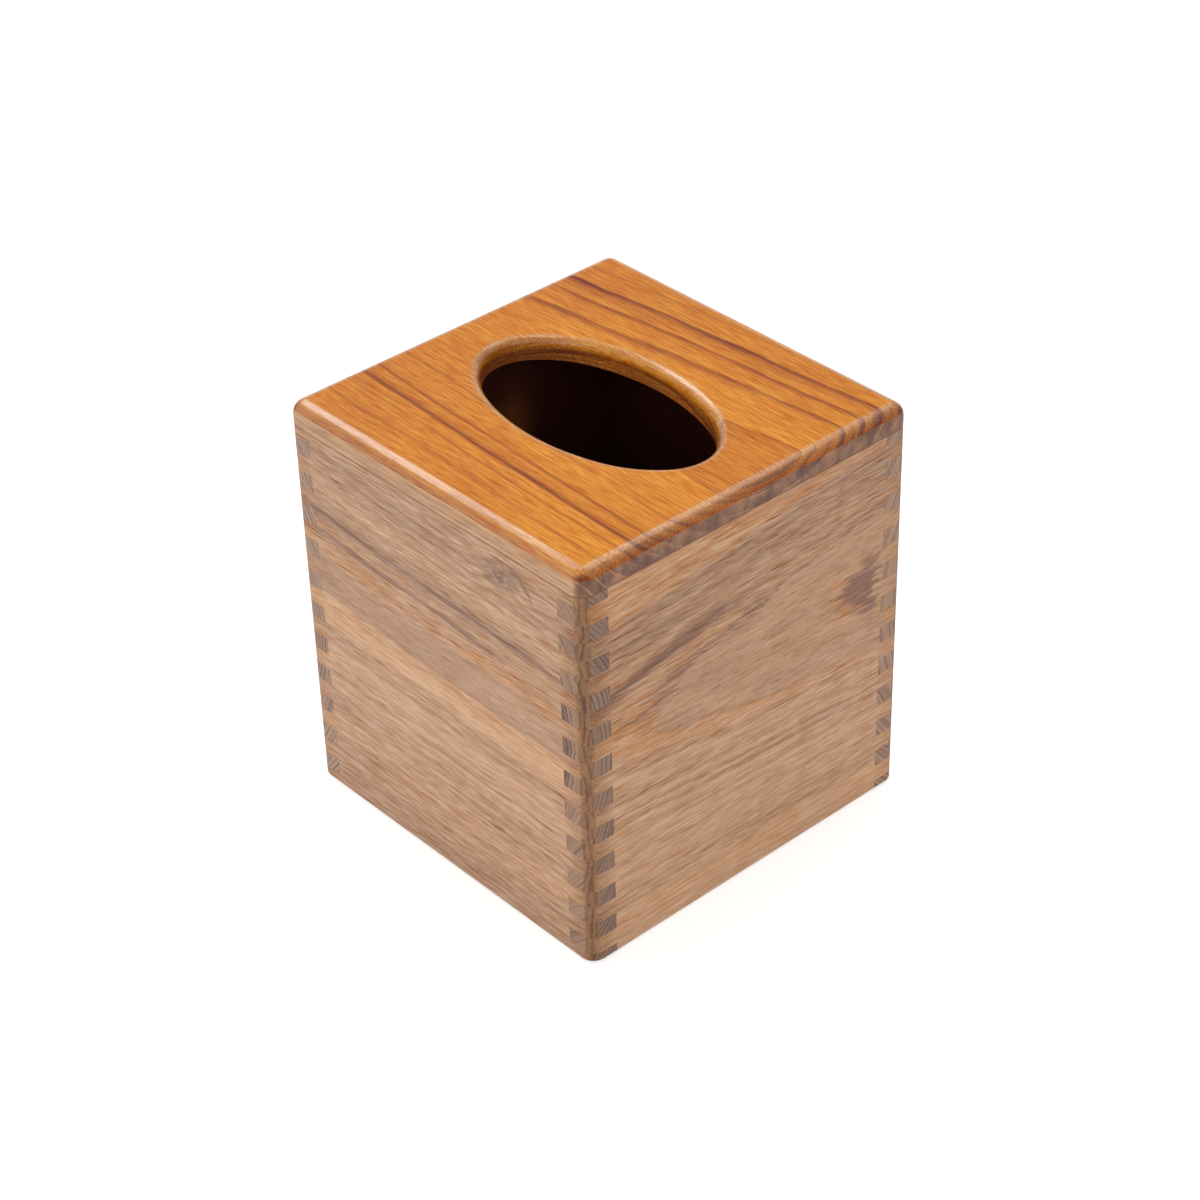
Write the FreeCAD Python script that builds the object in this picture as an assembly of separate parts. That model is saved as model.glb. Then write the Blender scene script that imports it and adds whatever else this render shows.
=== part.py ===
import FreeCAD
import Part
import math
import os

# Tissue box cover: a square wooden box, open below, that slips over a cube of tissues.
# Four boards meet in finger joints at the corners, and a fifth board with an oval opening lies on them.
# The origin is the centre of the foot, +Z is up, and the oval and the grain of the top run along X.

# Overall sizes
side_length = 133.35
overall_height = 143.0

# Boards and the glue between them
wall_thickness = 10.0
panel_thickness = 8.0
glue_film = 0.05

# Finger joints, counted up each corner in whole fingers with a part finger left at the foot and at the top
finger_height = 6.1
least_end_finger_share = 0.1

# Outside edges: the quarter-round of the top and of the upright corners, and the eased foot
edge_round = 4.76
foot_ease = 0.8

# Oval opening for the tissues, with a rolled rim: an ellipse drawn as eight tangent arcs
# The joint angles say which way the edge faces where one arc meets the next, in degrees from the oval's end
opening_length = 90.6
opening_width = 50.8
end_fullness_share = 1.09
end_joint_angle = 40.1
side_joint_angle = 69.3
rim_round = 3.2
under_rim_ease = 0.5

# How far every cut runs past the faces that it opens
overrun = 1.0

# Sizes that follow from those above
half_side = side_length / 2
panel_underside = overall_height - panel_thickness
wall_height = panel_underside - glue_film
cavity_side = side_length - 2 * wall_thickness
joint_reach = wall_thickness + glue_film


def level_edges(shape, height, reach):
    """Edges of a shape that lie flat at one height, no further from the middle than the reach."""
    near = glue_film / 2
    found = []
    for edge in shape.Edges:
        box = edge.BoundBox
        level = abs(box.ZMin - height) < near and abs(box.ZMax - height) < near
        if level and max(box.XMax, -box.XMin, box.YMax, -box.YMin) < reach + near:
            found.append(edge)
    return found


def slab(low, high):
    """A slice of space between two heights, wider than the box on every side."""
    width = side_length + 2 * overrun
    return Part.makeBox(width, width, high - low, FreeCAD.Vector(-width / 2, -width / 2, low))


def rounded_block():
    """The whole outside as one block, with its upright and top edges rounded and its foot eased."""
    corner = FreeCAD.Vector(-half_side, -half_side, 0)
    block = Part.makeBox(side_length, side_length, overall_height, corner)
    upright_edges = [edge for edge in block.Edges if edge.BoundBox.ZLength > overall_height / 2]
    block = block.makeFillet(edge_round, upright_edges + level_edges(block, overall_height, half_side))
    return block.makeFillet(foot_ease, level_edges(block, 0, half_side))


def wall_ring(block):
    """The four walls before they are parted: the block below the panel, hollowed from the foot."""
    start = FreeCAD.Vector(-cavity_side / 2, -cavity_side / 2, -overrun)
    cavity = Part.makeBox(cavity_side, cavity_side, overall_height + overrun, start)
    ring = block.common(slab(-overrun, wall_height)).cut(cavity)
    return ring.makeFillet(foot_ease, level_edges(ring, 0, cavity_side / 2))


def finger_bands():
    """Heights of the finger bands from the foot up, as pairs of the bands' lower and upper ends."""
    fingers_that_fit = wall_height / finger_height - 1 - 2 * least_end_finger_share
    whole_fingers = 2 * math.floor(fingers_that_fit / 2) + 1
    end_finger = (wall_height - whole_fingers * finger_height) / 2
    bands = [(-overrun, end_finger)]
    for index in range(whole_fingers):
        low = end_finger + index * finger_height
        bands.append((low, low + finger_height))
    bands.append((wall_height - end_finger, wall_height + overrun))
    return bands


def corner_notches(bands):
    """Boxes that clear the given bands at all four corners, wider than the fingers by the glue."""
    width = joint_reach + overrun
    starts = (-half_side - overrun, half_side - joint_reach)
    boxes = []
    for low, high in bands:
        for start_x in starts:
            for start_y in starts:
                corner = FreeCAD.Vector(start_x, start_y, low - glue_film / 2)
                boxes.append(Part.makeBox(width, width, high - low + glue_film, corner))
    return Part.makeCompound(boxes)


def wall(ring, notches, length_x, length_y, start_x, start_y):
    """One board of the ring, with the notches for its neighbours' fingers cut out of both ends."""
    board = Part.makeBox(length_x, length_y, overall_height, FreeCAD.Vector(start_x, start_y, 0))
    return ring.common(board).cut(notches).removeSplitter().Solids[0]


def oval_arcs():
    """Radius, centre and last angle of the end, shoulder and side arcs in the oval's first quarter."""
    half_length = opening_length / 2
    half_width = opening_width / 2
    end_joint = math.radians(end_joint_angle)
    side_joint = math.radians(side_joint_angle)
    end_radius = end_fullness_share * half_width ** 2 / half_length

    # The shoulder and side radii are the pair that carries the edge on to the middle of the long side
    shoulder_run = math.cos(end_joint) - math.cos(side_joint)
    shoulder_rise = math.sin(side_joint) - math.sin(end_joint)
    side_run = math.cos(side_joint)
    side_rise = 1 - math.sin(side_joint)
    run_left = half_length - end_radius + end_radius * math.cos(end_joint)
    rise_left = half_width - end_radius * math.sin(end_joint)
    scale = shoulder_run * side_rise - side_run * shoulder_rise
    shoulder_radius = (run_left * side_rise - rise_left * side_run) / scale
    side_radius = (rise_left * shoulder_run - run_left * shoulder_rise) / scale

    # Each centre lies on the line through the last one and the joint between their arcs
    end_centre = FreeCAD.Vector(half_length - end_radius, 0, 0)
    end_direction = FreeCAD.Vector(math.cos(end_joint), math.sin(end_joint), 0)
    side_direction = FreeCAD.Vector(math.cos(side_joint), math.sin(side_joint), 0)
    shoulder_centre = end_centre + end_direction * (end_radius - shoulder_radius)
    side_centre = shoulder_centre + side_direction * (shoulder_radius - side_radius)
    return (
        (end_radius, end_centre, end_joint),
        (shoulder_radius, shoulder_centre, side_joint),
        (side_radius, side_centre, math.pi / 2),
    )


def oval_point(direction, height):
    """The point where the oval's edge faces a direction, in radians from its end."""
    along = math.cos(direction)
    across = math.sin(direction)
    turn = math.atan2(abs(across), abs(along))
    for radius, centre, last in oval_arcs():
        if turn <= last:
            break
    x = centre.x + radius * abs(along)
    y = centre.y + radius * abs(across)
    return FreeCAD.Vector(math.copysign(x, along), math.copysign(y, across), height)


def oval_outline(height):
    """The oval as a face at one height, bounded by its eight arcs."""
    first = math.radians(end_joint_angle)
    second = math.radians(side_joint_angle)
    half_turn = math.pi
    joints = [-first, first, second, half_turn - second]
    joints = joints + [joint + half_turn for joint in joints] + [-first + 2 * half_turn]
    arcs = []
    for start, end in zip(joints, joints[1:]):
        places = [oval_point(direction, height) for direction in (start, (start + end) / 2, end)]
        arcs.append(Part.Arc(*places).toShape())
    return Part.Face(Part.Wire(arcs))


def oval_panel(block):
    """The top board: the block's crown, with the oval opening, its rolled rim and its eased lower edge."""
    crown = block.common(slab(panel_underside, overall_height + overrun))
    outline = oval_outline(panel_underside - overrun)
    crown = crown.cut(outline.extrude(FreeCAD.Vector(0, 0, panel_thickness + 2 * overrun)))
    upper_rim = level_edges(crown, overall_height, opening_length / 2)
    crown = crown.makeFillet(rim_round, upper_rim)
    lower_rim = level_edges(crown, panel_underside, opening_length / 2)
    return crown.makeFillet(under_rim_ease, lower_rim).Solids[0]


# The outside block gives every board its share of the rounded edges
block = rounded_block()
ring = wall_ring(block)

# Front and back own the lowest band, the highest and every second one between, and the sides own the rest
bands = finger_bands()
front_and_back_notches = corner_notches(bands[1::2])
side_notches = corner_notches(bands[0::2])
far_start = half_side - wall_thickness

# The five boards
boards = {
    "front_wall": wall(ring, front_and_back_notches, side_length, wall_thickness, -half_side, -half_side),
    "back_wall": wall(ring, front_and_back_notches, side_length, wall_thickness, -half_side, far_start),
    "left_wall": wall(ring, side_notches, wall_thickness, side_length, -half_side, -half_side),
    "right_wall": wall(ring, side_notches, wall_thickness, side_length, far_start, -half_side),
    "top_panel": oval_panel(block),
}

os.makedirs("parts", exist_ok=True)
for name, board in boards.items():
    board.exportStep("parts/" + name + ".step")
    print(name, "valid", board.isValid(), "solids", len(board.Solids), "volume", round(board.Volume))
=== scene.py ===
import bpy
import math
from dataclasses import dataclass
from mathutils import Matrix, Vector


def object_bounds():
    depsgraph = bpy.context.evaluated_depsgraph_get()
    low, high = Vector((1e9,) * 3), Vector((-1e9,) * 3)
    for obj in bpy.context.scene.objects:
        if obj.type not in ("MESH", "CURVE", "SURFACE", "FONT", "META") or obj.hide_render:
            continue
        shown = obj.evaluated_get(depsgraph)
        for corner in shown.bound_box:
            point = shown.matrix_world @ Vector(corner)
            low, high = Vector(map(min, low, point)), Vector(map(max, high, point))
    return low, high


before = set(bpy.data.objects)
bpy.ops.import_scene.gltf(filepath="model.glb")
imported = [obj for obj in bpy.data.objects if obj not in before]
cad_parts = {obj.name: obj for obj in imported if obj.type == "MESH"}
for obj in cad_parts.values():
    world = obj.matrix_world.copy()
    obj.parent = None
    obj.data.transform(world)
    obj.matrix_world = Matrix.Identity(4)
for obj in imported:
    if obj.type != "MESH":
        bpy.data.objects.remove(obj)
cad_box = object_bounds()

MM_PER_M = 1000.0
X_AXIS, Y_AXIS, Z_AXIS = range(3)
WHITE = (1.0, 1.0, 1.0, 1.0)


def size_of(piece, axis):
    """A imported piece's size along one axis, in millimetres to two places."""
    return round(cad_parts[piece].dimensions[axis] * MM_PER_M, 2)


# Sizes of the cover in millimetres, read from the imported pieces of model.glb
SIDE = size_of("top_panel", X_AXIS)
HEIGHT = round(cad_box[1][Z_AXIS] * MM_PER_M, 2)
WALL = size_of("front_wall", Y_AXIS)
PANEL = size_of("top_panel", Z_AXIS)
HALF = SIDE / 2
WALL_TOP = HEIGHT - PANEL

# The sockets of a colour mix share their names, so they are found by number
MIX_FACTOR = 0
MIX_FIRST = 6
MIX_SECOND = 7
MIX_RESULT = 2

# Each seed gives a noise a place of its own: so far on for every seed, from a start
SEED_STEPS = (7.31, 3.17, 5.77)
SEED_STARTS = (0.0, 11.0, 29.0)

# What shading leaves at least of each part of a colour
LEAST_LIGHT = 0.05


# Arithmetic on shader values

class Field:
    """A value at each point of a surface: an output of a shader node, with arithmetic."""

    def __init__(self, tree, socket):
        self.tree = tree
        self.socket = socket

    def __add__(self, other):
        return calc("ADD", self, other)

    def __radd__(self, other):
        return calc("ADD", other, self)

    def __sub__(self, other):
        return calc("SUBTRACT", self, other)

    def __rsub__(self, other):
        return calc("SUBTRACT", other, self)

    def __mul__(self, other):
        return calc("MULTIPLY", self, other)

    def __truediv__(self, other):
        return calc("DIVIDE", self, other)


def feed(tree, value, socket):
    """Gives a socket its value: a link from a field, or the number itself."""
    if isinstance(value, Field):
        tree.links.new(value.socket, socket)
    else:
        socket.default_value = value


def tree_of(values):
    """The node tree of the first field among some values."""
    return next(value.tree for value in values if isinstance(value, Field))


def calc(operation, *values, clamp=False):
    """One step of arithmetic, of which at least one value is a field."""
    tree = tree_of(values)
    node = tree.nodes.new("ShaderNodeMath")
    node.operation = operation
    node.use_clamp = clamp
    for value, socket in zip(values, node.inputs):
        feed(tree, value, socket)
    return Field(tree, node.outputs[0])


def absolute(value):
    return calc("ABSOLUTE", value)


def larger(first, second):
    return calc("MAXIMUM", first, second)


def smaller(first, second):
    return calc("MINIMUM", first, second)


def clamp01(value):
    return calc("ADD", value, 0.0, clamp=True)


def ramp_up(value, low, high):
    """0 on one side of low, 1 beyond high, and a smooth rise between them; low may be the larger."""
    tree = value.tree
    node = tree.nodes.new("ShaderNodeMapRange")
    node.interpolation_type = "SMOOTHSTEP"
    feed(tree, value, node.inputs["Value"])
    node.inputs["From Min"].default_value = min(low, high)
    node.inputs["From Max"].default_value = max(low, high)
    node.inputs["To Min"].default_value = 0.0 if low < high else 1.0
    node.inputs["To Max"].default_value = 1.0 if low < high else 0.0
    return Field(tree, node.outputs["Result"])


def between(value, low, high, soft):
    """1 between two limits and 0 outside them, with soft edges."""
    return ramp_up(value, low - soft, low + soft) * ramp_up(value, high + soft, high - soft)


def bell(value, middle, width):
    """1 at the middle, falling to nothing about a width away."""
    away = (value - middle) / width
    return calc("EXPONENT", away * away * -1.0)


def combine(x, y, z):
    """Three fields or numbers as one vector."""
    tree = tree_of((x, y, z))
    node = tree.nodes.new("ShaderNodeCombineXYZ")
    for value, socket in zip((x, y, z), node.inputs):
        feed(tree, value, socket)
    return Field(tree, node.outputs[0])


def separate(vector):
    """The three parts of a vector field."""
    node = vector.tree.nodes.new("ShaderNodeSeparateXYZ")
    feed(vector.tree, vector, node.inputs[0])
    return [Field(vector.tree, output) for output in node.outputs]


def noise(point, lengths, seed, detail=1.0, roughness=0.5):
    """Noise from about -0.5 to 0.5 whose grains have the given lengths along the three axes."""
    tree = point.tree
    place = tree.nodes.new("ShaderNodeVectorMath")
    place.operation = "MULTIPLY_ADD"
    feed(tree, point, place.inputs[0])
    place.inputs[1].default_value = [1.0 / length for length in lengths]
    place.inputs[2].default_value = [seed * step + start for step, start in zip(SEED_STEPS, SEED_STARTS)]
    node = tree.nodes.new("ShaderNodeTexNoise")
    node.inputs["Scale"].default_value = 1.0
    node.inputs["Detail"].default_value = detail
    node.inputs["Roughness"].default_value = roughness
    tree.links.new(place.outputs[0], node.inputs["Vector"])
    return Field(tree, node.outputs[0]) - 0.5


def table(value, stops):
    """Two fields read off a list of (value, first, second) stops, with straight lines between them."""
    tree = value.tree
    low, high = stops[0][0], stops[-1][0]
    node = tree.nodes.new("ShaderNodeValToRGB")
    elements = node.color_ramp.elements
    while len(elements) < len(stops):
        elements.new(0.5)
    for element, (at, first, second) in zip(elements, stops):
        element.position = (at - low) / (high - low)
        element.color = (first, second, 0.0, 1.0)
    feed(tree, (value - low) * (1.0 / (high - low)), node.inputs[0])
    split = tree.nodes.new("ShaderNodeSeparateColor")
    tree.links.new(node.outputs[0], split.inputs[0])
    return Field(tree, split.outputs[0]), Field(tree, split.outputs[1])


def blend(factor, first, second, mode="MIX"):
    """A colour between two colours, each a field or three numbers."""
    tree = tree_of((factor, first, second))
    node = tree.nodes.new("ShaderNodeMix")
    node.data_type = "RGBA"
    node.blend_type = mode
    node.clamp_factor = True
    feed(tree, factor, node.inputs[MIX_FACTOR])
    for value, number in ((first, MIX_FIRST), (second, MIX_SECOND)):
        feed(tree, value if isinstance(value, Field) else (*value, 1.0), node.inputs[number])
    return Field(tree, node.outputs[MIX_RESULT])


def tinted(colour, tint, share=1.0):
    """A colour multiplied by a tint, as far as the share says."""
    return blend(share, colour, tint, "MULTIPLY")


def shaded(colour, amount, weights):
    """A colour darkened by an amount that bears on red, green and blue in the given proportion."""
    return tinted(colour, combine(*[larger(1.0 - amount * weight, LEAST_LIGHT) for weight in weights]))


# Wood: lengths and places are in millimetres, along the grain, across it and into the board
# Two limits in brackets are those of ramp_up, and with a third number, the softness, those of between

# A mix gives each of its named values a weight, and under this name the number that it starts from
ONE = "one"


@dataclass
class Pith:
    """Where the middle of the tree ran, beside a board."""

    reach: float  # distance from the board's face
    side: float  # 1 where it lies before the face, -1 where it lies behind it
    level: float  # place across the grain
    lean: float = 0.0  # how fast it draws away along the grain
    bend: float = 0.0  # how much faster with every millimetre
    skew: float = 0.0  # how fast its level rises along the grain
    spread_up: float = 0.0  # how the rings above it open along the grain
    spread_down: float = 0.0  # and those below it


@dataclass
class Layer:
    """Noise in a board: its own seed, the lengths of its grains, and limits that become 0 and 1."""

    seed: int
    lengths: tuple
    detail: float = 1.0
    roughness: float = 0.5
    limits: tuple = ()


@dataclass
class Spot:
    """A soft-edged place on a face: its middle, and its reach along and across the grain."""

    along: float
    across: float
    run: float
    rise: float

    def on(self, board):
        return bell(board.along, self.along, self.run) * bell(board.across, self.across, self.rise)


@dataclass
class Streak:
    """A dark line that slants over a face from a point on it and fades out past its end."""

    along: float
    across: float
    slope: float
    width: float
    end: float
    strength: float


@dataclass
class Look:
    """What sets one board's wood apart."""

    name: str
    axes: callable  # gives along, across and depth from x, y and z
    grain_axis: int
    pith: Pith
    upper: list
    lower: list
    seed: int
    tint: tuple = ()
    end_tint: tuple = ()
    calm_level: float = 0.0  # rings nearer to the pith's foot than this are plain
    near_end: float = 0.0  # 1 or -1 where an end stands at the near corner, which gets painted shade
    knot: bool = False
    flecks: tuple = ()
    streaks: tuple = ()
    patch_end: float = None  # where the dark patch breaks off along the grain
    painted_light_spot: Spot = None  # where painted light lifts the painted shade inside


RING_LAYERS = {
    "wobble": Layer(0, (48.0, 14.0, 14.0)),
    "jag": Layer(1, (8.0, 1.1, 2.5), 2.0),
    "swell": Layer(2, (30.0, 9.0, 9.0)),
    "wide_jag": Layer(3, (16.0, 2.6, 5.0)),
}
WOBBLE = 3.2
SWELL = 0.35
JAG_SHARE = 1.6

# Half the height over which the rings above the pith pass into those below it
PITH_SOFT = 1.5

# Where in a ring its late wood darkens and where it ends
LATE_WOOD = (0.35, 0.9)
LATE_WOOD_END = (1.0, 0.93)
RING_DRIFT_LENGTHS = (60.0, 30.0, 30.0)
RING_DRIFT = 1.3
RINGS_PER_CHANGE = 2.1
RING_CHANGE = 1.8
RING_STRENGTH = 0.75

BUMP_STRENGTH = 0.5
VARNISH_IOR = 1.45


def new_tree(name):
    """A material by its name, with its node tree emptied."""
    material = bpy.data.materials.new(name)
    material.use_nodes = True
    material.node_tree.nodes.clear()
    return material, material.node_tree


class Board:
    """A board's wood in its material: the place in the board, and named values that its mixes add up."""

    def __init__(self, look, layers, mixes):
        self.material, self.tree = new_tree(look.name)
        source = self.tree.nodes.new("ShaderNodeTexCoord")
        metres = Field(self.tree, source.outputs["Object"])
        self.along, self.across, self.depth = look.axes(*[part * MM_PER_M for part in separate(metres)])
        self.place = combine(self.along, self.across, self.depth)
        self.look = look
        self.layers = layers
        self.mixes = mixes
        self.values = {"along": self.along}

    def __getitem__(self, name):
        """A named value; a noise layer is made when it is first asked for."""
        if name not in self.values:
            self.values[name] = self.noise(name, self.place)
        return self.values[name]

    def __setitem__(self, name, value):
        self.values[name] = value

    def noise(self, name, place):
        """A noise layer: from 0 to 1 where it has limits, and otherwise around 0."""
        layer = self.layers[name]
        grains = noise(place, layer.lengths, self.look.seed + layer.seed, layer.detail, layer.roughness)
        return ramp_up(grains, *layer.limits) if layer.limits else grains

    def mix(self, name):
        """The named values of a mix added up, each times its weight."""
        weights = dict(self.mixes[name])
        total = weights.pop(ONE, 0.0)
        for value, weight in weights.items():
            total = total + self[value] * weight
        return total

    def facing(self, axis):
        """How squarely the surface faces along an axis: 0 beside it, 1 straight on."""
        geometry = self.tree.nodes.new("ShaderNodeNewGeometry")
        return absolute(separate(Field(self.tree, geometry.outputs["Normal"]))[axis])


def ring_reading(board, jag_size, across):
    """The ring's level on the face (signed), its height over the pith and its radius, all a little wavy."""
    pith = board.look.pith
    shifted = board.along + (board["jag"] * JAG_SHARE + board["wide_jag"]) * jag_size
    above = across - pith.level - shifted * pith.skew + board["wobble"] * WOBBLE
    if pith.spread_up:
        above = above + larger(above, 0.0) * board.along * pith.spread_up
    if pith.spread_down:
        above = above + smaller(above, 0.0) * board.along * pith.spread_down
    away = board.depth * pith.side + shifted * pith.lean + shifted * shifted * pith.bend
    away = away + pith.reach + board["swell"] * SWELL
    square = away * away + above * above
    gap = square - pith.reach ** 2
    level = calc("SIGN", gap) * calc("SQRT", absolute(gap))
    return level, above, calc("SQRT", square)


def ring_tables(board, level, above):
    """Darkness and warmth of the rings, from one list above the pith and another below it."""
    upper_dark, upper_warm = table(level, board.look.upper)
    lower_dark, lower_warm = table(level, board.look.lower)
    over = ramp_up(above, -PITH_SOFT, PITH_SOFT)
    dark = upper_dark * over + lower_dark * (1.0 - over)
    return dark, upper_warm * over + lower_warm * (1.0 - over)


def ring_lines(board, radius, width, seed):
    """The dark late wood of rings of about the given width, from 0 to 1."""
    seed = board.look.seed + seed
    drift = noise(board.place, RING_DRIFT_LENGTHS, seed)
    phase = calc("FRACT", radius / width + drift * RING_DRIFT)
    late = ramp_up(phase, *LATE_WOOD) * ramp_up(phase, *LATE_WOOD_END)
    change = noise(combine(radius, 0.0, 0.0), (width * RINGS_PER_CHANGE, 1.0, 1.0), seed + 1)
    return late * (change * RING_CHANGE + RING_STRENGTH)


def varnish(board, colour, coat, specular, bump, coat_roughness, coat_bump):
    """The varnished surface, with the bump of the wood and of the varnish over it, in metres."""
    tree = board.tree
    shader = tree.nodes.new("ShaderNodeBsdfPrincipled")
    output = tree.nodes.new("ShaderNodeOutputMaterial")
    height = board.mix("height")
    for socket, distance in (("Normal", bump), ("Coat Normal", coat_bump)):
        node = tree.nodes.new("ShaderNodeBump")
        node.inputs["Strength"].default_value = BUMP_STRENGTH
        node.inputs["Distance"].default_value = distance
        feed(tree, height, node.inputs["Height"])
        tree.links.new(node.outputs[0], shader.inputs[socket])
    feed(tree, colour, shader.inputs["Base Color"])
    feed(tree, clamp01(board.mix("roughness")), shader.inputs["Roughness"])
    feed(tree, coat, shader.inputs["Coat Weight"])
    shader.inputs["Specular IOR Level"].default_value = specular
    shader.inputs["Coat Roughness"].default_value = coat_roughness
    shader.inputs["IOR"].default_value = VARNISH_IOR
    tree.links.new(shader.outputs[0], output.inputs["Surface"])


# Colours that the walls and the top share
# Painted shade: the inside of the cover and the underside of the top are near black, where shade falls
PAINTED_SHADE_INSIDE = (0.038, 0.005, 0.004)
GLUE_DARK = (0.16, 0.075, 0.040)
GLUE_SHARE = 0.55

# Wall boards
WALL_PALE = (0.73, 0.448, 0.260)
WALL_DARK = (0.25, 0.130, 0.088)
WALL_WARM = (0.58, 0.255, 0.085)
WALL_PORE = (0.27, 0.110, 0.055)
END_PALE = (0.415, 0.258, 0.178)
END_DARK = (0.100, 0.057, 0.041)
CORNER_PALE = (0.30, 0.150, 0.077)
CORNER_DARK = (0.075, 0.034, 0.019)
# Painted light: a paler patch in the painted shade inside, where light comes in through the opening
PAINTED_LIGHT_INSIDE = (0.330, 0.095, 0.018)
# Painted shade: the wood darkens towards the near corner
NEAR_PAINTED_SHADE = (0.81, 0.82, 0.84)
KNOT_DARK = (0.220, 0.128, 0.095)

# How much more the fine grain takes from green and blue than from red
WALL_GRAIN = (1.0, 1.60, 2.15)

WALL_LAYERS = {
    **RING_LAYERS,
    "patchy": Layer(7, (40.0, 6.0, 6.0)),
    "fibre": Layer(8, (17.0, 1.2, 1.2), 3.0, 0.62),
    "fine": Layer(9, (7.0, 0.36, 0.36), 2.0, 0.6),
    "pores": Layer(10, (6.5, 0.34, 0.34), limits=(0.11, 0.19)),
    "cluster": Layer(11, (22.0, 5.0, 5.0), limits=(-0.12, 0.16)),
    "dashes": Layer(12, (7.0, 0.55, 0.55), limits=(0.02, 0.16)),
    "knot_along": Layer(13, (5.0, 4.0, 4.0), 2.0),
    "knot_across": Layer(14, (5.0, 4.0, 4.0), 2.0),
    "knot_swirl": Layer(15, (4.0, 3.0, 3.0), 2.0),
    "ring_shades": Layer(14, (0.85, 1.0, 1.0), 2.0),
    "thread": Layer(16, (13.0, 0.34, 0.34), limits=(0.06, 0.20)),
    "dots": Layer(17, (3.0, 0.4, 0.4)),
    "wander": Layer(18, (6.0, 16.0, 6.0), 2.0),
    "patch_edge": Layer(20, (7.0, 1.3, 2.5), 2.0),
}
WALL_MIXES = {
    "busy": {"dark": 1.4, ONE: 0.58},
    "shade": {"cloudy_dark": 1.0, "lines": 0.06, "patchy": 0.08, "calm": 0.06, "tip": 0.10, ONE: -0.02},
    "streak_wander": {"fibre": 6.0, "patchy": 3.0},
    "glow": {"fibre": 4.0, "dashes": 0.7, ONE: 0.45},
    "pore_share": {"cluster": 0.52, ONE: 0.22},
    "grain": {"fibre": 0.40, "fine": 1.35, "thread": 0.30, "lines": 0.12},
    "end_wood": {"end_lines": 0.45, "ring_shades": 1.9, "dots": 0.9, "dark": 0.5},
    "corner_wood": {"corner_lines": 0.65, "ring_shades": 0.4, "dots": 0.9, "dark": 0.5, "fibre": 0.8},
    "painted_light_grain": {"fine": 1.8, ONE: 0.75},
    "height": {"fine": 0.6, "fibre": 0.5, "pores": -0.8},
    "roughness": {"fine": 0.25, "pores": 0.15, "end": 0.08, ONE: 0.50},
}
WALL_FINISH = {"coat": 0.08, "specular": 0.25, "bump": 0.00004, "coat_roughness": 0.35, "coat_bump": 0.00004}

WALL_JAG = 22.0
CORNER_WANDER = 5.0

# Ring lines on the face, on the end grain and on the rounded corner: the width of a ring, and the seed
WALL_RINGS = (1.75, 5)
END_RINGS = (1.6, 15)
CORNER_RINGS = (1.5, 19)

# The dark patch of the right wall: how it breaks off along the grain, and the levels where it fades
PATCH_JAG = 26.0
PATCH_SOFT = 2.0
PATCH_LEVELS = (-14.0, -17.0)
PATCH_FADE = 0.72

# The calm band along each wall: its soft edge, how far it quiets the grain, and its sparse pores
CALM_SOFT = 1.0
CALM_HUSH = 0.45
CALM_PORES = 0.45

SHADE_GAIN = 0.8
SHADE_START = 0.17
GRAIN_START = -0.04
FLECK_GLOW = 1.2
STREAK_FADE = 7.0

# The tips of the fingers, by their distance from the wall's middle
TIP_SHADE_ZONE = (56.0, 62.0)
TIP_GLOW_ZONE = (55.0, 62.0)
TIP_GLOW = 0.30
# How far towards the near corner the painted shade reaches
NEAR_PAINTED_SHADE_ZONE = (56.0, 62.5)

# How squarely a surface cuts the grain where it turns to corner wood and then to end grain
CORNER_TURN = (0.10, 0.66)
END_TURN = (0.90, 0.985)
GLUE_ZONE = (WALL_TOP - 0.50, WALL_TOP - 0.15)

# Painted shade inside: how deep it lies, and where a surface cuts the grain too squarely to carry it
PAINTED_SHADE_DEPTH = (WALL - 0.4, WALL - 0.1)
PAINTED_SHADE_TURN = (0.6, 0.3)
PAINTED_SHADE_SHARE = 0.98

# The knot of the front wall: how the rings pass round it, its heart and the hook beside it
KNOT_BYPASS = Spot(32.0, 126.0, 8.5, 8.0)
KNOT_PULL = 5.5
KNOT = Spot(31.8, 126.6, 8.0, 5.2)
KNOT_RAGGED_ALONG = 7.0
KNOT_RAGGED_ACROSS = 5.0
KNOT_EDGE = (1.30, 0.40)
SWIRL_TURNS = 9.0
SWIRL_WANDER = 8.0
SWIRL_SHARE = 0.28
HEART_SHARE = 0.62
HOOK_MIDDLE = 37.5
HOOK_CURVE = 0.10
HOOK_ACROSS = 130.2
HOOK_WIDTH = 1.2
HOOK_SPAN = (36.5, 45.5, 1.5)
HOOK_SHARE = 0.80


def knot_share(board):
    """The knot of the front wall and the dark hook beside it, from 0 to 1."""
    wide = (board.along - KNOT.along + board["knot_along"] * KNOT_RAGGED_ALONG) / KNOT.run
    high = (board.across - KNOT.across + board["knot_across"] * KNOT_RAGGED_ACROSS) / KNOT.rise
    heart = calc("SQRT", wide * wide + high * high)
    swirl = calc("SINE", heart * SWIRL_TURNS + board["knot_swirl"] * SWIRL_WANDER)
    core = ramp_up(heart, *KNOT_EDGE) * (swirl * SWIRL_SHARE + HEART_SHARE)
    run = board.along - HOOK_MIDDLE
    hook = bell(board.across + run * run * HOOK_CURVE, HOOK_ACROSS, HOOK_WIDTH)
    return clamp01(core + hook * between(board.along, *HOOK_SPAN) * HOOK_SHARE)


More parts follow.
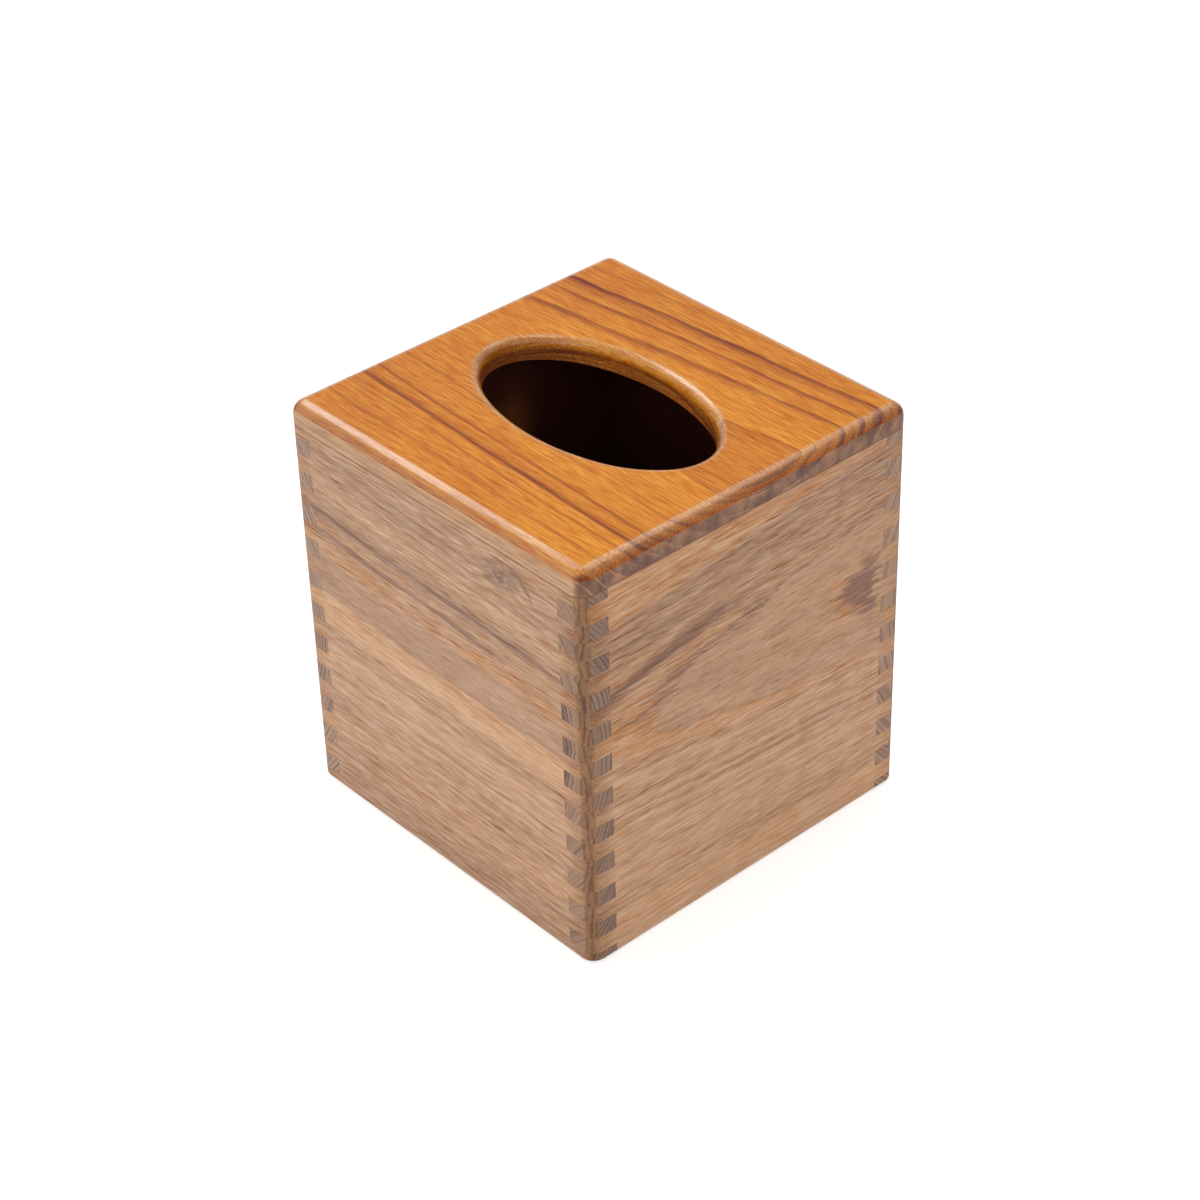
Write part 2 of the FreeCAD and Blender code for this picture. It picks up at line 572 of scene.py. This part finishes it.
def wall_rings(board):
    """Reads the rings of a wall into its values, and gives their level and radius."""
    look = board.look
    across = board.across
    if look.knot:
        across = across - KNOT_BYPASS.on(board) * KNOT_PULL
    level, above, radius = ring_reading(board, WALL_JAG, across)
    dark, board["warm"] = ring_tables(board, level, above)
    if look.patch_end:
        ragged = board.along + board["patch_edge"] * PATCH_JAG
        past = ramp_up(ragged, look.patch_end - PATCH_SOFT, look.patch_end + PATCH_SOFT)
        dark = dark * (1.0 - past * ramp_up(level, *PATCH_LEVELS) * PATCH_FADE)
    board["dark"] = dark
    board["lines"] = ring_lines(board, radius, *WALL_RINGS)
    return level, radius


def wall_face(board, level):
    """The colour of a wall along the grain."""
    look = board.look
    calm = ramp_up(level, look.calm_level + CALM_SOFT, look.calm_level - CALM_SOFT)
    board["calm"] = calm
    board["tip"] = ramp_up(absolute(board.along), *TIP_SHADE_ZONE)
    board["cloudy_dark"] = board["dark"] * (board["patchy"] + 1.0)
    busy = clamp01(board.mix("busy")) * (1.0 - calm * CALM_HUSH)

    shade = board.mix("shade")
    for streak in look.streaks:
        line = board.across - (board.along - streak.along) * streak.slope + board.mix("streak_wander")
        fade = ramp_up(board.along, streak.end + STREAK_FADE, streak.end - STREAK_FADE)
        shade = shade + bell(line, streak.across, streak.width) * fade * streak.strength
    colour = blend(clamp01(shade * SHADE_GAIN + SHADE_START), WALL_PALE, WALL_DARK)

    glow = board["warm"] * board.mix("glow") + ramp_up(absolute(board.along), *TIP_GLOW_ZONE) * TIP_GLOW
    for fleck in look.flecks:
        glow = glow + fleck.on(board) * board["dashes"] * FLECK_GLOW
    colour = blend(clamp01(glow), colour, WALL_WARM)

    colour = blend(board["pores"] * (busy * board.mix("pore_share") + calm * CALM_PORES), colour, WALL_PORE)
    if look.knot:
        colour = blend(knot_share(board), colour, KNOT_DARK)
    colour = shaded(colour, board.mix("grain") * busy + GRAIN_START, WALL_GRAIN)
    colour = tinted(colour, look.tint)
    # Painted shade towards the near corner
    if look.near_end:
        colour = tinted(colour, NEAR_PAINTED_SHADE, ramp_up(board.along * look.near_end, *NEAR_PAINTED_SHADE_ZONE))
    return colour


def wall_ends(board, radius, square_cut):
    """The colour of a wall's end grain, and of the rounded corner that leads to it."""
    board["end_lines"] = ring_lines(board, radius, *END_RINGS)
    board["corner_lines"] = ring_lines(board, board.depth + board["wander"] * CORNER_WANDER, *CORNER_RINGS)
    board["ring_shades"] = board.noise("ring_shades", combine(radius, 0.0, 0.0))
    end = tinted(blend(clamp01(board.mix("end_wood")), END_PALE, END_DARK), board.look.end_tint)
    corner = blend(clamp01(board.mix("corner_wood")), CORNER_PALE, CORNER_DARK)
    return blend(ramp_up(square_cut, *END_TURN), corner, end)


def wall_painted_shade(board):
    """Painted shade inside the cover, near black, with a spot of painted light where the look places one."""
    if not board.look.painted_light_spot:
        return PAINTED_SHADE_INSIDE
    painted_light_share = board.look.painted_light_spot.on(board) * board.mix("painted_light_grain")
    return blend(clamp01(painted_light_share), PAINTED_SHADE_INSIDE, PAINTED_LIGHT_INSIDE)


def wall_wood(look):
    """The material of a wall: face, ends, glue line, and painted shade inside."""
    board = Board(look, WALL_LAYERS, WALL_MIXES)
    level, radius = wall_rings(board)
    square_cut = board.facing(look.grain_axis)
    board["end"] = ramp_up(square_cut, *CORNER_TURN)
    colour = blend(board["end"], wall_face(board, level), wall_ends(board, radius, square_cut))
    colour = blend(ramp_up(board.across, *GLUE_ZONE) * GLUE_SHARE, colour, GLUE_DARK)
    # Painted shade inside the cover
    inside = ramp_up(board.depth, *PAINTED_SHADE_DEPTH) * ramp_up(square_cut, *PAINTED_SHADE_TURN)
    colour = blend(inside * PAINTED_SHADE_SHARE, colour, wall_painted_shade(board))
    varnish(board, colour, **WALL_FINISH)
    return board.material


# Top board
TOP_PALE = (0.630, 0.227, 0.0155)
TOP_DEEP = (0.403, 0.102, 0.0045)
TOP_LINE = (0.135, 0.012, 0.001)
TOP_SPARK = (0.780, 0.370, 0.060)
TOP_END = (0.150, 0.033, 0.005)
# Dark grain of the bore, which also lays a little painted shade over all of it
BORE_GRAIN_AND_PAINTED_SHADE = (0.110, 0.040, 0.016)
BAND_PALE = (0.620, 0.368, 0.205)
BAND_DARK = (0.290, 0.148, 0.086)
BAND_END_PALE = (0.44, 0.228, 0.130)
BAND_END_DARK = (0.140, 0.071, 0.052)
BAND_ARC = (0.47, 0.240, 0.120)
# The bore's tint: red and green darker as painted shade, blue raised
BORE_TINT_AND_PAINTED_SHADE = (0.80, 0.72, 1.55)
STRIP_TINT = (0.86, 0.67, 0.36)
SPOT_TINT = (0.50, 0.36, 0.34)
# Painted tint of the rolled edges: less red as painted shade, more blue as a painted highlight
ROLL_PAINTED_SHADE_AND_HIGHLIGHT = (0.87, 0.97, 1.25)
TOP_GRAIN = (1.0, 2.40, 7.0)

TOP_LAYERS = {
    **RING_LAYERS,
    "patchy": Layer(7, (30.0, 4.0, 4.0)),
    "fibre": Layer(8, (34.0, 1.0, 1.0), 3.0, 0.6),
    "fine": Layer(9, (7.0, 0.42, 0.42), 2.0, 0.6),
    "long_line": Layer(10, (80.0, 0.55, 0.55)),
    "spark": Layer(11, (30.0, 0.28, 0.28), limits=(0.15, 0.23)),
    "cloud": Layer(12, (45.0, 22.0, 22.0), 2.0),
    "edge": Layer(20, (14.0, 9.0, 2.0), 2.0),
    "arc_drift": Layer(21, (60.0, 26.0, 26.0)),
    "band_cloud": Layer(22, (60.0, 6.0, 8.0), 2.0),
    "thread": Layer(23, (26.0, 0.36, 0.36), limits=(0.04, 0.22)),
    "arc_breaks": Layer(24, (60.0, 7.0, 4.0), limits=(-0.12, 0.10)),
    "bore_layers": Layer(26, (26.0, 26.0, 0.50), 3.0, 0.6),
}
TOP_MIXES = {
    # The along weight darkens the top towards its left end: painted shade against the brighter light there
    "tone": {"deep": 1.0, "cloud": 0.9, "lines": 0.06, "along": -0.0016, ONE: 0.30},
    "grain": {"fibre": 0.34, "fine": 1.05, "long_line": 0.22},
    "line_share": {"patchy": 1.6, ONE: 1.0},
    "end_share": {"lines": 0.5, "dark": 0.8, "fine": 1.2, ONE: 0.30},
    "strip_share": {"end": 0.4, ONE: 0.6},
    "band": {"fibre": 1.8, "fine": 1.6, "thread": 0.35, "lines": 0.2, ONE: 0.20},
    "band_end": {"arc_phase": 0.20, "fine": 1.2, "band_cloud": 2.2, ONE: 0.56},
    # Its constant part lays painted shade over the whole bore
    "bore": {"bore_lines": 0.30, "bore_layers": 2.4, "fine": 0.4, ONE: 0.12},
    "roll_coat": {"patchy": 0.5, ONE: 0.82},
    "height": {"fine": 0.5, "fibre": 0.5, "dark": -0.2},
    "roughness": {"fine": 0.22, "fibre": 0.10, "muted": 0.08, ONE: 0.42},
}
TOP_FINISH = {"specular": 0.10, "bump": 0.00004, "coat_roughness": 0.24, "coat_bump": 0.00018}

TOP_JAG = 9.0
TOP_RINGS = (2.6, 5)
BORE_RINGS = (1.1, 25)
TOP_END_TURN = (0.15, 0.65)
SPARK_SHARE = 0.55

# Places on the rounded edge, by the distance from the middle and the depth below the top
OUTSIDE_ZONE = (61.0, 62.0)
EDGE_WANDER = 0.5
STRIP_DEPTH = (1.4, 3.4, 0.5)
SPOT_ZONE = (61.6, 63.6)
SPOT_DEPTH = (1.5, 4.0, 0.6)
BAND_DEPTH = (2.6, 3.2)
HAZE_DEPTH = (0.9, 2.4)
HAZE_SHARE = 0.35

# The pale arcs on the band's end grain: their spacing, and where in it an arc starts and stops
ARC_SPACING = 4.3
ARC_DRIFT = 0.9
ARC_START = (0.0, 0.04)
ARC_STOP = (0.16, 0.07)
ARC_SHARE = 0.75

BORE_DEPTH = (1.8, 4.5)
UNDERSIDE_DEPTH = (PANEL - 0.30, PANEL - 0.05)
TOP_GLUE_DEPTH = (PANEL - 0.45, PANEL - 0.15)

# How far up a surface faces where a rolled edge starts and where it ends
ROLL_START = (0.9985, 0.988)
ROLL_STOP = (0.40, 0.68)
FLAT_COAT = 0.18
SPOT_DULLING = 0.8


def top_face(board):
    """The golden wood of the top, along the grain and where its rounded edges cut it."""
    colour = blend(clamp01(board.mix("tone")), TOP_PALE, TOP_DEEP)
    colour = shaded(colour, board.mix("grain"), TOP_GRAIN)
    colour = blend(clamp01(board["dark"] * board.mix("line_share")), colour, TOP_LINE)
    colour = blend(board["spark"] * (1.0 - board["end"]) * SPARK_SHARE, colour, TOP_SPARK)
    return blend(board["end"] * clamp01(board.mix("end_share")), colour, TOP_END)


def top_band(board, radius):
    """The muted wood below the rolled edge: lines along the grain, and arcs on the end grain."""
    band = blend(clamp01(board.mix("band")), BAND_PALE, BAND_DARK)
    phase = calc("FRACT", radius / ARC_SPACING + board["arc_drift"] * ARC_DRIFT)
    arc = ramp_up(phase, *ARC_START) * ramp_up(phase, *ARC_STOP) * board["arc_breaks"]
    board["arc_phase"] = phase
    band_end = blend(clamp01(board.mix("band_end")), BAND_END_PALE, BAND_END_DARK)
    return blend(board["end"], band, blend(arc * ARC_SHARE, band_end, BAND_ARC))


def top_wood(look):
    """The material of the top: face, rolled edges with a painted tint, the muted band below them, and bore
    and underside with painted shade.
    """
    board = Board(look, TOP_LAYERS, TOP_MIXES)
    level, above, radius = ring_reading(board, TOP_JAG, board.across)
    board["dark"], board["deep"] = ring_tables(board, level, above)
    board["lines"] = ring_lines(board, radius, *TOP_RINGS)
    board["bore_lines"] = ring_lines(board, radius, *BORE_RINGS)
    board["end"] = ramp_up(board.facing(look.grain_axis), *TOP_END_TURN)
    colour = top_face(board)

    # The edge: an orange strip and a dark spot at the corners, then the band
    sides = absolute(board.along), absolute(board.across)
    outside = ramp_up(larger(*sides), *OUTSIDE_ZONE)
    edge = board.depth + board["edge"] * EDGE_WANDER
    strip = outside * between(edge, *STRIP_DEPTH)
    colour = tinted(colour, STRIP_TINT, strip * board.mix("strip_share"))
    spot = ramp_up(smaller(*sides), *SPOT_ZONE) * between(board.depth, *SPOT_DEPTH)
    colour = tinted(colour, SPOT_TINT, spot)
    haze = ramp_up(edge, *HAZE_DEPTH) * (1.0 - board["end"]) * HAZE_SHARE
    muted = outside * clamp01(ramp_up(edge, *BAND_DEPTH) + haze)
    board["muted"] = muted
    colour = blend(muted, colour, top_band(board, radius))

    # The bore, with dark grain and painted shade; the underside, with painted shade; and the glue line
    inner = 1.0 - outside
    bore = inner * ramp_up(board.depth, *BORE_DEPTH)
    colour = tinted(colour, BORE_TINT_AND_PAINTED_SHADE, bore)
    colour = blend(bore * clamp01(board.mix("bore")), colour, BORE_GRAIN_AND_PAINTED_SHADE)
    # Painted shade on the underside of the top
    colour = blend(ramp_up(board.depth, *UNDERSIDE_DEPTH) * inner, colour, PAINTED_SHADE_INSIDE)
    colour = blend(ramp_up(board.depth, *TOP_GLUE_DEPTH) * outside * GLUE_SHARE, colour, GLUE_DARK)

    # The varnish stands thick on the rolled edges, whose colour takes a painted tint: less red as painted
    # shade, more blue as a painted highlight
    upward = board.facing(Z_AXIS)
    rolled = ramp_up(upward, *ROLL_START) * ramp_up(upward, *ROLL_STOP) * (1.0 - bore) * (1.0 - muted)
    colour = tinted(colour, ROLL_PAINTED_SHADE_AND_HIGHLIGHT, rolled)
    coat = (rolled * board.mix("roll_coat") + FLAT_COAT) * (1.0 - spot * SPOT_DULLING)
    varnish(board, colour, coat, **TOP_FINISH)
    return board.material


# Each list gives, for rings met above or below the pith, (level on the face, darkness, warmth)
FRONT_UPPER = [
    (-20, 0.34, 0.0), (4.2, 0.38, 0.0), (5.6, 0.50, 0.0), (6.6, 0.34, 0.15), (8.5, 0.38, 0.50),
    (12.0, 0.36, 0.35), (14.6, 0.32, 0.10), (15.6, 0.40, 0.0), (16.8, 0.42, 0.0), (17.8, 0.34, 0.15),
    (19.6, 0.32, 0.25), (21.4, 0.62, 0.0), (23.0, 1.00, 0.0), (24.4, 0.44, 0.0), (27.0, 0.44, 0.0),
    (28.6, 0.28, 0.0), (33.0, 0.26, 0.05), (36.0, 0.44, 0.0), (38.0, 0.32, 0.0), (40.8, 0.50, 0.0),
    (43.4, 0.40, 0.0), (44.6, 0.62, 0.0), (45.6, 0.36, 0.0), (47.0, 0.52, 0.0), (48.2, 0.34, 0.0),
    (51.0, 0.50, 0.0), (52.4, 0.32, 0.0), (75.0, 0.32, 0.0),
]
FRONT_LOWER = [
    (-20, 0.34, 0.0), (4.5, 0.38, 0.0), (6.6, 0.50, 0.0), (7.4, 0.08, 0.25), (9.0, 0.02, 0.55),
    (9.8, 0.20, 0.65), (10.6, 0.00, 0.20), (14.5, 0.00, 0.08), (18.5, 0.14, 0.0), (20.6, 0.40, 0.0),
    (22.6, 0.32, 0.0), (24.4, 0.36, 0.0), (26.4, 0.14, 0.0), (30.0, 0.12, 0.0), (33.5, 0.22, 0.0),
    (35.2, 0.14, 0.0), (36.8, 0.36, 0.0), (38.4, 0.18, 0.0), (43.5, 0.22, 0.0), (46.0, 0.42, 0.0),
    (47.4, 0.24, 0.0), (49.4, 0.38, 0.0), (54.0, 0.24, 0.0), (60.5, 0.20, 0.25), (62.8, 0.46, 0.0),
    (64.5, 0.30, 0.0), (67.5, 0.48, 0.0), (69.5, 0.30, 0.0), (72.5, 0.42, 0.0), (80.0, 0.44, 0.0),
]
RIGHT_PATCH = [
    (-30, 0.75, 0.0), (-21.0, 0.86, 0.0), (-18.6, 1.00, 0.0), (-17.6, 0.86, 0.2), (-16.6, 0.30, 0.60),
    (-14.5, 0.24, 0.1), (8.0, 0.24, 0.0),
]
RIGHT_UPPER = RIGHT_PATCH + [
    (15.6, 0.30, 0.0), (16.6, 0.80, 0.0), (17.3, 0.80, 0.0), (18.2, 0.36, 0.40), (21.0, 0.36, 0.3),
    (23.0, 0.50, 0.0), (25.2, 0.56, 0.0), (26.6, 0.34, 0.3), (30.0, 0.44, 0.1), (34.0, 0.60, 0.0),
    (36.0, 0.46, 0.0), (38.0, 0.52, 0.0), (42.5, 0.58, 0.0), (45.0, 0.24, 0.60), (50.0, 0.20, 0.70),
    (75.0, 0.20, 0.5),
]
RIGHT_LOWER = RIGHT_PATCH + [
    (15.4, 0.26, 0.0), (16.8, 0.46, 0.0), (17.6, 0.12, 0.80), (20.0, 0.12, 0.40), (23.0, 0.32, 0.0),
    (25.0, 0.10, 0.0), (29.5, 0.16, 0.0), (30.8, 0.48, 0.0), (31.6, 0.10, 0.0), (34.6, 0.14, 0.0),
    (35.6, 0.44, 0.0), (36.4, 0.08, 0.0), (38.6, 0.40, 0.0), (39.5, 0.08, 0.0), (42.6, 0.12, 0.0),
    (43.6, 0.40, 0.0), (44.4, 0.06, 0.0), (51.0, 0.10, 0.0), (52.2, 0.30, 0.0), (53.2, 0.08, 0.0),
    (60.0, 0.12, 0.1), (68.0, 0.24, 0.0), (71.0, 0.00, 0.25), (80.0, 0.04, 0.10),
]
TOP_HEART = [(-30, 0.0, 0.20), (-14, 0.0, 0.28), (3.0, 0.05, 0.55), (4.9, 0.40, 0.60), (5.8, 0.0, 0.0)]
TOP_UPPER = TOP_HEART + [
    (27.0, 0.0, 0.10), (29.8, 0.55, 0.50), (30.8, 0.0, 0.0), (37.5, 0.0, 0.20), (39.2, 0.62, 0.50),
    (40.2, 0.0, 0.0), (44.6, 0.10, 0.40), (46.6, 1.00, 0.60), (47.5, 0.05, 0.05), (54.0, 0.0, 0.15),
    (55.5, 0.20, 0.20), (56.5, 0.0, 0.05), (75.0, 0.0, 0.1),
]
TOP_LOWER = TOP_HEART + [
    (30.2, 0.0, 0.10), (31.2, 0.36, 0.25), (31.8, 0.0, 0.0), (40.4, 0.0, 0.15), (41.3, 0.56, 0.45),
    (42.0, 0.0, 0.0), (45.6, 0.05, 0.35), (47.2, 0.85, 0.60), (48.2, 0.0, 0.0), (51.6, 0.0, 0.10),
    (52.6, 0.36, 0.20), (53.3, 0.0, 0.0), (58.8, 0.0, 0.05), (60.0, 0.32, 0.20), (60.8, 0.0, 0.0),
    (75.0, 0.0, 0.3),
]

WALL_LOOKS = {
    "front_wall": Look(
        "front_wood", lambda x, y, z: (x, z, y + HALF), X_AXIS,
        Pith(65.0, 1.0, 82.0, skew=-0.030, spread_up=0.0013), FRONT_UPPER, FRONT_LOWER, seed=3,
        tint=(0.985, 0.975, 0.975), end_tint=(0.74, 0.72, 0.72), calm_level=6.6, near_end=1.0, knot=True,
        flecks=(Spot(34.0, 91.0, 15.0, 2.2), Spot(48.0, 87.5, 10.0, 1.6)),
        streaks=(Streak(0.0, 97.7, -0.056, 1.1, end=30.0, strength=0.55),),
    ),
    "right_wall": Look(
        "right_wood", lambda x, y, z: (y, z, HALF - x), Y_AXIS,
        Pith(60.0, -1.0, 82.7, lean=-0.0605, bend=-0.00013, skew=0.031), RIGHT_UPPER, RIGHT_LOWER, seed=41,
        tint=(0.915, 0.885, 0.865), end_tint=(0.97, 0.92, 0.88), calm_level=16.0, near_end=-1.0,
        patch_end=54.0, flecks=(Spot(-46.0, 80.0, 9.0, 8.0), Spot(37.0, 84.0, 5.0, 12.0)),
        streaks=(Streak(-58.0, 95.3, 0.25, 2.3, end=-12.0, strength=0.75),),
    ),
    "back_wall": Look(
        "back_wood", lambda x, y, z: (0.0 - x, z, HALF - y), X_AXIS,
        Pith(62.0, 1.0, 70.0, lean=0.03, skew=-0.02), RIGHT_LOWER, FRONT_UPPER, seed=87,
        tint=(1.0, 0.97, 0.95), end_tint=(1.02, 1.0, 0.99), calm_level=5.0,
    ),
    "left_wall": Look(
        "left_wood", lambda x, y, z: (0.0 - y, z, x + HALF), Y_AXIS,
        Pith(66.0, 1.0, 60.0, lean=-0.035, bend=0.0001, skew=0.015), FRONT_LOWER, RIGHT_UPPER, seed=129,
        tint=(1.0, 0.98, 0.96), end_tint=(1.10, 1.13, 1.15), calm_level=8.0,
        # A patch of painted light on the inside of this wall
        painted_light_spot=Spot(-13.0, 101.0, 7.0, 11.0),
    ),
}
TOP_LOOK = Look(
    "top_wood_grain", lambda x, y, z: (x, y, HEIGHT - z), X_AXIS,
    Pith(55.2, 1.0, 5.0, lean=-0.04, skew=0.033, spread_down=-0.00045), TOP_UPPER, TOP_LOWER, seed=203,
)

materials = {name: wall_wood(look) for name, look in WALL_LOOKS.items()}
materials["top_panel"] = top_wood(TOP_LOOK)
for name, material in materials.items():
    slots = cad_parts[name].data.materials
    slots.clear()
    slots.append(material)


# Floor and backdrop: both are seen as white, and the floor keeps the cover's shadow
FLOOR_GREY = (0.78, 0.78, 0.78, 1.0)
FLOOR_GLOW = 0.47
FAR_GLOW = 0.25
FAR_ZONE = (300.0, 1500.0)
FLOOR_REACH = 3.0
FLOOR_DROP = 0.0002
AMBIENT = 0.50


def seen_directly(tree):
    """1 where the camera looks, also by way of gloss or glass, and 0 for what only lights the cover."""
    rays = tree.nodes.new("ShaderNodeLightPath")
    camera_ray, glossy_ray, transmission_ray = [
        Field(tree, rays.outputs[name]) for name in ("Is Camera Ray", "Is Glossy Ray", "Is Transmission Ray")
    ]
    return larger(larger(camera_ray, glossy_ray), transmission_ray)


def floor_material():
    """A floor that glows white where it is seen, but not inside the cover, and is clear from below."""
    material, tree = new_tree("floor_white")
    geometry = tree.nodes.new("ShaderNodeNewGeometry")
    source = tree.nodes.new("ShaderNodeTexCoord")
    x, y, _ = separate(Field(tree, source.outputs["Object"]))
    reach = larger(absolute(x), absolute(y)) * MM_PER_M
    glow_share = ramp_up(reach, *FAR_ZONE) * FAR_GLOW + FLOOR_GLOW
    strength = seen_directly(tree) * ramp_up(reach, HALF - WALL, HALF) * glow_share

    plain = tree.nodes.new("ShaderNodeBsdfDiffuse")
    plain.inputs["Color"].default_value = FLOOR_GREY
    glow = tree.nodes.new("ShaderNodeEmission")
    feed(tree, strength, glow.inputs["Strength"])
    both = tree.nodes.new("ShaderNodeAddShader")
    tree.links.new(plain.outputs[0], both.inputs[0])
    tree.links.new(glow.outputs[0], both.inputs[1])
    clear = tree.nodes.new("ShaderNodeBsdfTransparent")
    choose = tree.nodes.new("ShaderNodeMixShader")
    tree.links.new(geometry.outputs["Backfacing"], choose.inputs[0])
    tree.links.new(both.outputs[0], choose.inputs[1])
    tree.links.new(clear.outputs[0], choose.inputs[2])
    output = tree.nodes.new("ShaderNodeOutputMaterial")
    tree.links.new(choose.outputs[0], output.inputs["Surface"])
    return material


def add_object(name, data):
    """A new object in the scene."""
    item = bpy.data.objects.new(name, data)
    bpy.context.scene.collection.objects.link(item)
    return item


corners = [(x * FLOOR_REACH, y * FLOOR_REACH, -FLOOR_DROP) for x, y in ((-1, -1), (1, -1), (1, 1), (-1, 1))]
floor_mesh = bpy.data.meshes.new("floor")
floor_mesh.from_pydata(corners, [], [(0, 1, 2, 3)])
floor_mesh.materials.append(floor_material())
floor = add_object("floor", floor_mesh)

world = bpy.data.worlds.new("studio")
bpy.context.scene.world = world
world.use_nodes = True
world_tree = world.node_tree
world_tree.nodes.clear()
background = world_tree.nodes.new("ShaderNodeBackground")
background.inputs["Color"].default_value = WHITE
feed(world_tree, seen_directly(world_tree) * (1.0 - AMBIENT) + AMBIENT, background.inputs["Strength"])
world_output = world_tree.nodes.new("ShaderNodeOutputWorld")
world_tree.links.new(background.outputs[0], world_output.inputs["Surface"])


# Lamps, in metres
ALONG_X = (1.0, 0.0, 0.0)
ALONG_Y = (0.0, 1.0, 0.0)
AIM = Vector((0.0, 0.0, HEIGHT / 2 / MM_PER_M))

# The direction from the cover to each lamp, its distance, its long side, length, width and radiance
LAMPS = {
    "key": ((-0.67, 0.03, 0.69), 2.0, ALONG_Y, 1.30, 0.34, 9.0),
    "overhead": ((-0.20, 0.13, 0.97), 1.6, ALONG_X, 0.24, 0.24, 18.0),
    "back_top": ((-0.05, 0.52, 0.85), 1.6, ALONG_X, 1.1, 0.28, 4.8),
    "front_fill": ((0.25, -0.85, 0.5), 1.4, ALONG_X, 1.0, 0.8, 2.0),
    "side_fill": ((0.83, -0.28, 0.48), 1.4, ALONG_Y, 0.8, 0.8, 1.8),
}


def turned(right, up, back):
    """The turn that gives an object these three directions as its own axes."""
    return Matrix((right, up, back)).transposed().to_4x4()


def softbox(name, direction, distance, along, length, width, radiance):
    """A rectangular light that faces the middle of the cover; radiance 1 is as bright as white."""
    data = bpy.data.lights.new(name, "AREA")
    data.shape = "RECTANGLE"
    data.size = length
    data.size_y = width
    data.energy = radiance * math.pi * length * width
    back = Vector(direction).normalized()
    side = Vector(along)
    side = (side - back * side.dot(back)).normalized()
    lamp = add_object(name, data)
    lamp.matrix_world = Matrix.Translation(AIM + back * distance) @ turned(side, back.cross(side), back)


for name, settings in LAMPS.items():
    softbox(name, *settings)

# Camera, fitted to the outline of the cover in the photograph
CAMERA_PLACE = (0.57580, -0.50698, 0.60926)
CAMERA_RIGHT = (0.672438, 0.739772, -0.023752)
CAMERA_UP = (-0.412937, 0.401597, 0.817437)
CAMERA_BACK = (0.614255, -0.539868, 0.575529)
SENSOR_MM = 36.0
LENS_MM = 89.27
NEAR_CLIP = 0.01
FAR_CLIP = 20.0

camera_data = bpy.data.cameras.new("camera")
camera_data.sensor_width = SENSOR_MM
camera_data.lens = LENS_MM
camera_data.clip_start = NEAR_CLIP
camera_data.clip_end = FAR_CLIP
camera = add_object("camera", camera_data)
camera.matrix_world = Matrix.Translation(CAMERA_PLACE) @ turned(CAMERA_RIGHT, CAMERA_UP, CAMERA_BACK)
bpy.context.scene.camera = camera
bpy.context.scene.view_settings.view_transform = "Standard"
